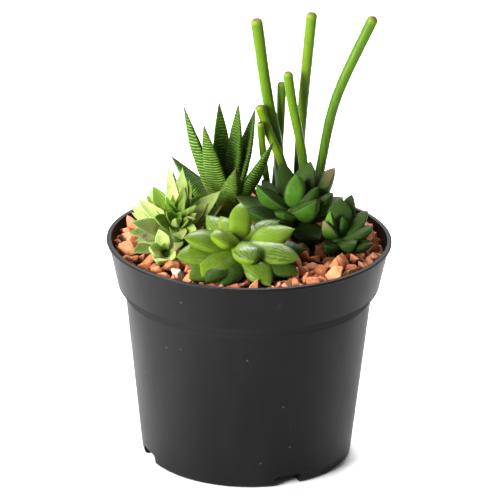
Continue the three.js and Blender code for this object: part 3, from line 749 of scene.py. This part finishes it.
SMALL_DARK = Kind(kind=BROAD, crown=(37, -9, 101), stem=4, curl=0, core=4.5, facing=(0, -0.1, 1), leaves=[
    (-22, 78, 8, 5.5), (83, 51, 16.3, 10.5), (-159, 72, 12, 7), (68, 41, 21, 8), (-140, 50, 12, 8, 0.7),
    (33, 33, 18, 9), (0, 23, 16, 9), (-52, 11, 12, 9), (-23, 6, 16, 9), (-118, 12, 12, 8.5),
])
ZEBRA = Kind(kind=BANDED, crown=(-10, 27, 102), stem=6, curl=6, core=7, facing=(0, 0, 1), leaves=[
    (41, 82, 44.5, 9.5), (-144, 72, 40.5, 11.5), (91, 76, 29, 9), (37, 70, 44.5, 10), (-170, 68, 51.5, 10.5),
    (108, 75, 46.5, 9.5), (-14, 58, 39.5, 10.5), (-70, 63, 26, 11), (155, 38, 34.5, 11.5), (105, 38, 24, 11),
    (-155, 30, 20, 10),
])
PALE = Kind(kind=THIN, crown=(-30, -3, 102), stem=5, curl=-4, core=6, facing=TOWARD_VIEWER, young=[
    (-60, 30, 11, 4.6), (-95, 36, 12, 4.8, 0.2), (-122, 46, 13, 5, 0.1), (-150, 52, 12, 4.6),
    (-30, 30, 10, 4.5, 0.2), (0, 36, 10, 4.2), (22, 45, 12, 4), (-75, 62, 9, 3.4), (-12, 60, 10, 3.2),
    (-45, 4, 12, 5.4, 0.3), (-80, -6, 13, 6, 0.5), (-160, 12, 17, 6, 0.3), (180, 60, 12, 3.8),
    (150, 64, 14, 3.8), (60, 66, 13, 3.4),
], leaves=[
    (107, 39, 8, 2.8), (82, 53, 9, 3), (59, 40, 9, 3), (117, 16, 9, 3.2), (34, 21, 7, 3), (97, 54, 6, 2.6),
    (77, 57, 18, 5.2), (96, 52, 18, 5.6), (66, 46, 14, 4.6), (41, 14, 13, 6.6), (-109, 12, 9, 4.8, 0.3),
    (-141, 32, 15, 7, 0.1), (108, 38, 19, 5.6), (69, 53, 22, 6.2), (39, 27, 18, 6.8, 0.2), (57, 30, 21, 8.2),
    (120, 22, 20, 6.4), (87, 53, 25, 5.2, 0.1), (132, 25, 24, 7), (128, 39, 24, 8.2), (45, 24, 23, 6.4, 0.2),
    (40, 29, 27, 8, 0.3), (84, 58, 28, 7, 0.35), (107, 56, 29.5, 5.6, 0.7), (99, 53, 28, 5, 0.25),
    (35, 18, 24, 7.4, 0.3), (151, 30, 24, 6.2, 0.6), (128, 33, 26, 5.6, 0.5), (-148, 22, 25, 7.6, 0.6),
    (145, 21, 23, 6, 0.4), (-142, 13, 27, 7.4, 0.9), (-100, -14, 14, 7.5, 0.9), (150, 19, 26, 6.6, 0.5),
    (-135, 8, 25, 7.4, 0.8), (144, 10, 26, 6.6, 0.4), (-131, 0, 29, 8.6, 0.3),
])
OFFSET = Kind(kind=THIN, crown=(-34.5, -21.8, 97.5), stem=2, curl=0, core=3.5, facing=TOWARD_VIEWER, leaves=[
    (-104, 57, 5, 3.4, 0.5), (122, 52, 10, 6.2, 0.6), (76, 36, 8, 5.2, 0.5), (-126, 29, 13, 7, 0.7),
    (-105, 7, 13, 7.5, 0.8), (-65, 12, 10, 6.2, 0.4),
])


def middle_line(t, rise, length, curl):
    """How far out and up a leaf's middle line is at a share t of its length, and how steep."""
    bend = radians(curl)
    mean = radians(rise) + bend * (t - 1) / 2
    half = bend * t / 2
    reach = length * t * (math.sin(half) / half if abs(half) > 1e-6 else 1)
    return reach * math.cos(mean), reach * math.sin(mean), radians(rise) + bend * (t - 0.5)


def leaf_share(kind, t):
    """Share of the leaf's full width at t, with a fine bristle at the very tip."""
    if t >= 1 or t <= 0:
        return 0
    blade = t / (1 - kind.bristle)
    if blade < kind.round:
        return kind.foot + (1 - kind.foot) * math.sin(math.pi / 2 * blade / kind.round)
    bristle = BRISTLE_WIDTH * (1 - t) / kind.bristle
    if blade >= 1:
        return bristle
    taper = math.cos(math.pi / 2 * (blade - kind.round) / (1 - kind.round)) ** kind.point
    return max(taper, min(bristle, BRISTLE_WIDTH))


def band_ridge(kind, across, over, t, tint):
    """Height of the raised bands, from 0 between them to 1 on them."""
    if not kind.bands:
        return 0
    wander = 0.22 * noise.noise(Vector((across * 2.2, t * 9, tint * 50)))
    wave = math.cos(math.tau * ((t + 0.02 * across * across) * kind.bands + wander))
    broken = 0.78 + 0.5 * noise.noise(Vector((across * 7, t * kind.bands * 1.3, tint * 90 + 5)))
    ends = (0.7 if over > 0 else 1) * clamp((0.97 - t) / 0.12) * clamp(t / 0.08)
    return clamp((wave - 0.1) / 0.9) ** 0.8 * clamp(broken) * ends


def leaf_frame(azimuth, slope, facing):
    """A leaf's left, and the way its upper face looks, where its middle line rises at this slope."""
    level = math.cos(slope)
    ahead = Vector((level * math.cos(azimuth), level * math.sin(azimuth), math.sin(slope)))
    side = facing.cross(ahead).normalized()
    return side, ahead.cross(side)


def add_leaf(bm, layers, plant, row, root, growth):
    """One leaf: a ball whose rings are drawn out along the leaf's middle line."""
    kind = plant.kind
    azimuth, rise, length, width = row[:4]
    tint, age, mark = growth
    azimuth = radians(azimuth)
    facing = Vector(plant.facing)
    ball = bmesh.ops.create_uvsphere(bm, u_segments=LEAF_SIDES, v_segments=kind.rings, radius=1)["verts"]
    for vert in ball:
        ring = math.acos(clamp(vert.co.z, -1, 1)) / math.pi
        t = 1 - (1 - ring) ** kind.crowd
        girth = math.hypot(vert.co.x, vert.co.y)
        across, over = (-vert.co.x / girth, vert.co.y / girth) if girth > 1e-5 else (0, 0)
        share = leaf_share(kind, t)
        half = width / 2 * share
        depth = width * kind.thick * share
        rounded_side = abs(over) ** kind.edge
        belly = (1 - kind.keel) * rounded_side + kind.keel * (1 - abs(across))
        hollow = kind.dish * width * share * (1 - across * across)
        ridge = band_ridge(kind, across, over, t, tint)
        relief = ridge * BAND_HEIGHT * share
        half += relief * 0.7 * abs(across) ** 4
        if over > 0:
            height = rounded_side * depth * kind.face - hollow + relief * rounded_side
        else:
            height = -belly * depth * (1 - kind.face) - hollow * 0.6 - relief
        out, lift, slope = middle_line(t, rise, length, plant.curl)
        side, face = leaf_frame(azimuth, slope, facing)
        place = root + Vector((out * math.cos(azimuth), out * math.sin(azimuth), lift))
        place += side * across * half + face * height
        uneven = noise.noise_vector(place / WOBBLE_REACH + Vector((tint * 20, 0, 0)))
        vert.co = (place + uneven * kind.wobble * share) * MM
        vert[layers.leaf] = (across, t, over)
        vert[layers.growth] = (tint, age, ridge if kind.bands else mark)


def leaf_layers(bm):
    """The numbers that each point of a leaf carries for its finish."""
    make = bm.verts.layers.float_vector.new
    return Kind(leaf=make("leaf"), growth=make("growth"))


def growth_of(row, order):
    """A leaf's age and mark, its age being its place in the order if its row gives none. The age darkens a
    leaf's colour, partly as painted shade.
    """
    mark = row[4] if len(row) > 4 else 0
    return row[5] if len(row) > 5 else order, mark


def make_rosette(name, plant, node, material, seed):
    """A swollen crown on a stem, and its leaves, each older one springing from a little lower."""
    draw = random.Random(seed)
    x, y, z = plant.crown
    core, stem = plant.core, plant.stem
    bm = bmesh.new()
    layers = leaf_layers(bm)
    foot = SOIL_TOP - ROOT_DEPTH
    neck = max(z - stem - core, SOIL_TOP + 4)
    crown = rounded([(0, foot, 0), (core * 0.55, foot, 0), (core * 0.55, neck, 0.5),
                     (core, z - stem - core * 0.3, 1), (core * 0.6, z - core * 0.2, 1), (0, z, 0)])
    spin_profile(bm, crown, CROWN_STEPS, (x, y))
    # Painted shade: the crown carries the darkest leaf colours, those of an old leaf at its root, as the
    # stem in the shade of its leaves.
    for vert in bm.verts:
        vert[layers.leaf] = (0, 0.02, -0.5)
        vert[layers.growth] = (0.3, 1, 0)
    last = len(plant.leaves) - 1
    for i, row in enumerate(plant.leaves):
        root = Vector((x, y, z - stem * i / last))
        add_leaf(bm, layers, plant, row, root, (draw.random(), *growth_of(row, i / last)))
    heart = Vector((x, y, z - YOUNG_DEPTH))
    for row in getattr(plant, "young", ()):
        add_leaf(bm, layers, plant, row, heart, (draw.random(), *growth_of(row, 0)))
    bmesh.ops.recalc_face_normals(bm, faces=bm.faces)
    rosette = finished_object(name, bm, material)
    stand_for(rosette, node)
    return rosette


# Round upright leaves: (x, y) of the root in the soil, then the middle line's (x, y, z) up to the tip.
PENCIL_LEAVES = [
    Kind(root=(14, 43), line=[(11.6, 42.5, 122), (7.3, 42, 142), (1.6, 42, 179)], width=5.6),
    Kind(root=(20.5, 45), line=[(21.2, 44.5, 120), (22.6, 44, 145), (25.3, 44, 181.5)], width=5.2),
    Kind(root=(28, 40), line=[(30.6, 39, 115), (36, 38, 144), (51.5, 38, 181.7)], width=5.2),
    Kind(root=(24, 34.5), line=[(22.6, 35.5, 118), (17.4, 36, 144), (15.3, 36, 157.5)], width=4.6),
    Kind(root=(10.5, 49), line=[(12.5, 47, 123), (13.1, 46.5, 149.5)], width=4.2),
    Kind(root=(18, 37), line=[(15, 37, 112), (7.6, 37, 130), (3.4, 37, 142)], width=4.4),
    Kind(root=(9, 38), line=[(5.5, 36, 120), (4, 32, 136)], width=3.4),
]
PENCIL_SIDES = 20
PENCIL_RINGS = 64
PENCIL_CROWD = 1.9
PENCIL_SEED = 40
CURVE_STEPS = 16


def smooth_line(points):
    """A smooth curve through the points, as a function of a share from 0 to 1 of its length."""
    ends = [points[0] * 2 - points[1]] + points + [points[-1] * 2 - points[-2]]
    fine = []
    for a, b, c, d in zip(ends, ends[1:], ends[2:], ends[3:]):
        near, middle, far = (max((q - p).length, 1e-6) ** 0.5 for p, q in ((a, b), (b, c), (c, d)))
        start = (b - a) / near - (c - a) / (near + middle) + (c - b) / middle
        end = (c - b) / middle - (d - b) / (middle + far) + (d - c) / far
        start, end = start * middle, end * middle
        for k in range(CURVE_STEPS):
            s = k / CURVE_STEPS
            fine.append(b * (2 * s ** 3 - 3 * s ** 2 + 1) + c * (3 * s ** 2 - 2 * s ** 3)
                        + start * (s ** 3 - 2 * s ** 2 + s) + end * (s ** 3 - s ** 2))
    fine.append(points[-1])
    reach = [0.0]
    for p, q in zip(fine, fine[1:]):
        reach.append(reach[-1] + (q - p).length)

    def at(t):
        want = t * reach[-1]
        i = max(k for k in range(len(reach) - 1) if reach[k] <= want or k == 0)
        step = reach[i + 1] - reach[i]
        place = fine[i].lerp(fine[i + 1], clamp((want - reach[i]) / step))
        return place, (fine[i + 1] - fine[i]).normalized()

    return at, reach[-1]


def make_pencil_leaf(index, leaf, material):
    """A round upright leaf, a little thicker toward its blunt tip."""
    x, y = leaf.root
    rooted = [Vector((x, y, SOIL_TOP - ROOT_DEPTH)), Vector((x, y, SOIL_TOP + 5))]
    at, length = smooth_line(rooted + [Vector(p) for p in leaf.line])
    tint = random.Random(PENCIL_SEED + index).random()
    bm = bmesh.new()
    layers = leaf_layers(bm)
    ball = bmesh.ops.create_uvsphere(bm, u_segments=PENCIL_SIDES, v_segments=PENCIL_RINGS, radius=1)["verts"]
    round_end = leaf.width * 0.42
    for vert in ball:
        ring = math.acos(clamp(vert.co.z, -1, 1)) / math.pi
        t = 1 - (1 - ring) ** PENCIL_CROWD
        girth = math.hypot(vert.co.x, vert.co.y) or 1
        centre, along = at(t)
        side = Vector((0, 1, 0)).cross(along).normalized()
        front = along.cross(side)
        left = length * (1 - t)
        blunt = math.sqrt(clamp(1 - (1 - left / round_end) ** 2)) if left < round_end else 1
        blunt *= clamp(t / 0.01)
        radius = leaf.width / 2 * blunt * (0.8 + 0.2 * t) * (1 + 0.04 * noise.noise(centre / 9))
        groove = 1 - 0.05 * clamp(math.cos(math.atan2(vert.co.y, vert.co.x) * 2) + 0.2)
        place = centre + (side * vert.co.x + front * vert.co.y) / girth * radius * groove
        vert[layers.leaf] = (vert.co.x / girth, t, vert.co.y / girth)
        vert[layers.growth] = (tint, 0, 0)
        vert.co = place * MM
    bmesh.ops.recalc_face_normals(bm, faces=bm.faces)
    piece = finished_object("upright_leaf_%d" % index, bm, material)
    stand_for(piece, "pencil_leaf_%d" % index)
    return piece


# ---------------------------------------------------------------- camera, floor and light

CAMERA_TARGET = Vector((0.41, 0, 89.72)) * MM
CAMERA_DISTANCE = 1261 * MM
CAMERA_ELEVATION = 21.05
CAMERA_ROLL = 0.8
CAMERA_LENS = 215.4
FLOOR_SIZE = 6
SKY_STRENGTH = 0.19


def make_camera():
    """The view from the front and above, with the slight roll of a camera held by hand."""
    data = bpy.data.cameras.new("camera")
    data.lens = CAMERA_LENS
    data.clip_start = 0.05
    camera = bpy.data.objects.new("camera", data)
    bpy.context.scene.collection.objects.link(camera)
    lean = radians(CAMERA_ELEVATION)
    turn = Matrix.Rotation(radians(90) - lean, 4, "X") @ Matrix.Rotation(radians(CAMERA_ROLL), 4, "Z")
    back = Vector((0, -math.cos(lean), math.sin(lean)))
    camera.matrix_world = Matrix.Translation(CAMERA_TARGET + back * CAMERA_DISTANCE) @ turn
    bpy.context.scene.camera = camera


def make_floor():
    bm = bmesh.new()
    bmesh.ops.create_grid(bm, x_segments=2, y_segments=2, size=FLOOR_SIZE)
    floor = finished_object("pale_floor", bm, pale_floor())


def soft_light(name, place, aim, size, power, colour=(1, 1, 1), spread=180):
    """A rectangular lamp at a place, aimed at a point."""
    data = bpy.data.lights.new(name, "AREA")
    data.shape = "RECTANGLE"
    data.size, data.size_y = size
    data.energy = power
    data.color = colour
    data.spread = radians(spread)
    light = bpy.data.objects.new(name, data)
    bpy.context.scene.collection.objects.link(light)
    light.location = place
    light.rotation_euler = (Vector(aim) - Vector(place)).to_track_quat("-Z", "Y").to_euler()


def make_lights():
    world = bpy.data.worlds.new("studio")
    bpy.context.scene.world = world
    world.use_nodes = True
    sky = world.node_tree.nodes["Background"]
    sky.inputs["Color"].default_value = (1, 1, 1, 1)
    sky.inputs["Strength"].default_value = SKY_STRENGTH
    soft_light("key_left", place=(-0.95, -0.85, 0.5), aim=(0, 0, 0.1), size=(0.6, 0.6), power=7,
               colour=(1, 0.985, 0.95), spread=60)
    soft_light("wall_left", place=(-1.2, -0.35, 0.4), aim=(0, 0, 0.05), size=(2.0, 0.9), power=15)
    soft_light("back_overhead", place=(0.0, 1.3, 1.2), aim=(0, 0.62, 0), size=(1.6, 0.8), power=23,
               spread=60)
    bpy.context.scene.view_settings.view_transform = "Standard"


make_camera()
make_floor()
make_lights()

window_green = window_leaf()
dark_green = dark_leaf()
pale_green = pale_leaf()
zebra_green = zebra_leaf()
pencil_green = pencil_leaf()

plants = [
    make_rosette("window_rosette", WINDOW, "window_haworthia", window_green, seed=21),
    make_rosette("dark_rosette", DARK, "dark_haworthia", dark_green, seed=22),
    make_rosette("small_dark_rosette", SMALL_DARK, "small_dark_haworthia", dark_green, seed=23),
    make_rosette("zebra_rosette", ZEBRA, "zebra_haworthia", zebra_green, seed=24),
    make_rosette("pale_rosette", PALE, "pale_haworthia", pale_green, seed=25),
    make_rosette("pale_young_rosette", OFFSET, "pale_offset", pale_green, seed=26),
]
plants += [make_pencil_leaf(i + 1, leaf, pencil_green) for i, leaf in enumerate(PENCIL_LEAVES)]
make_pot(pot_plastic())
make_soil(potting_soil())
make_gravel(crushed_terracotta(), plants)
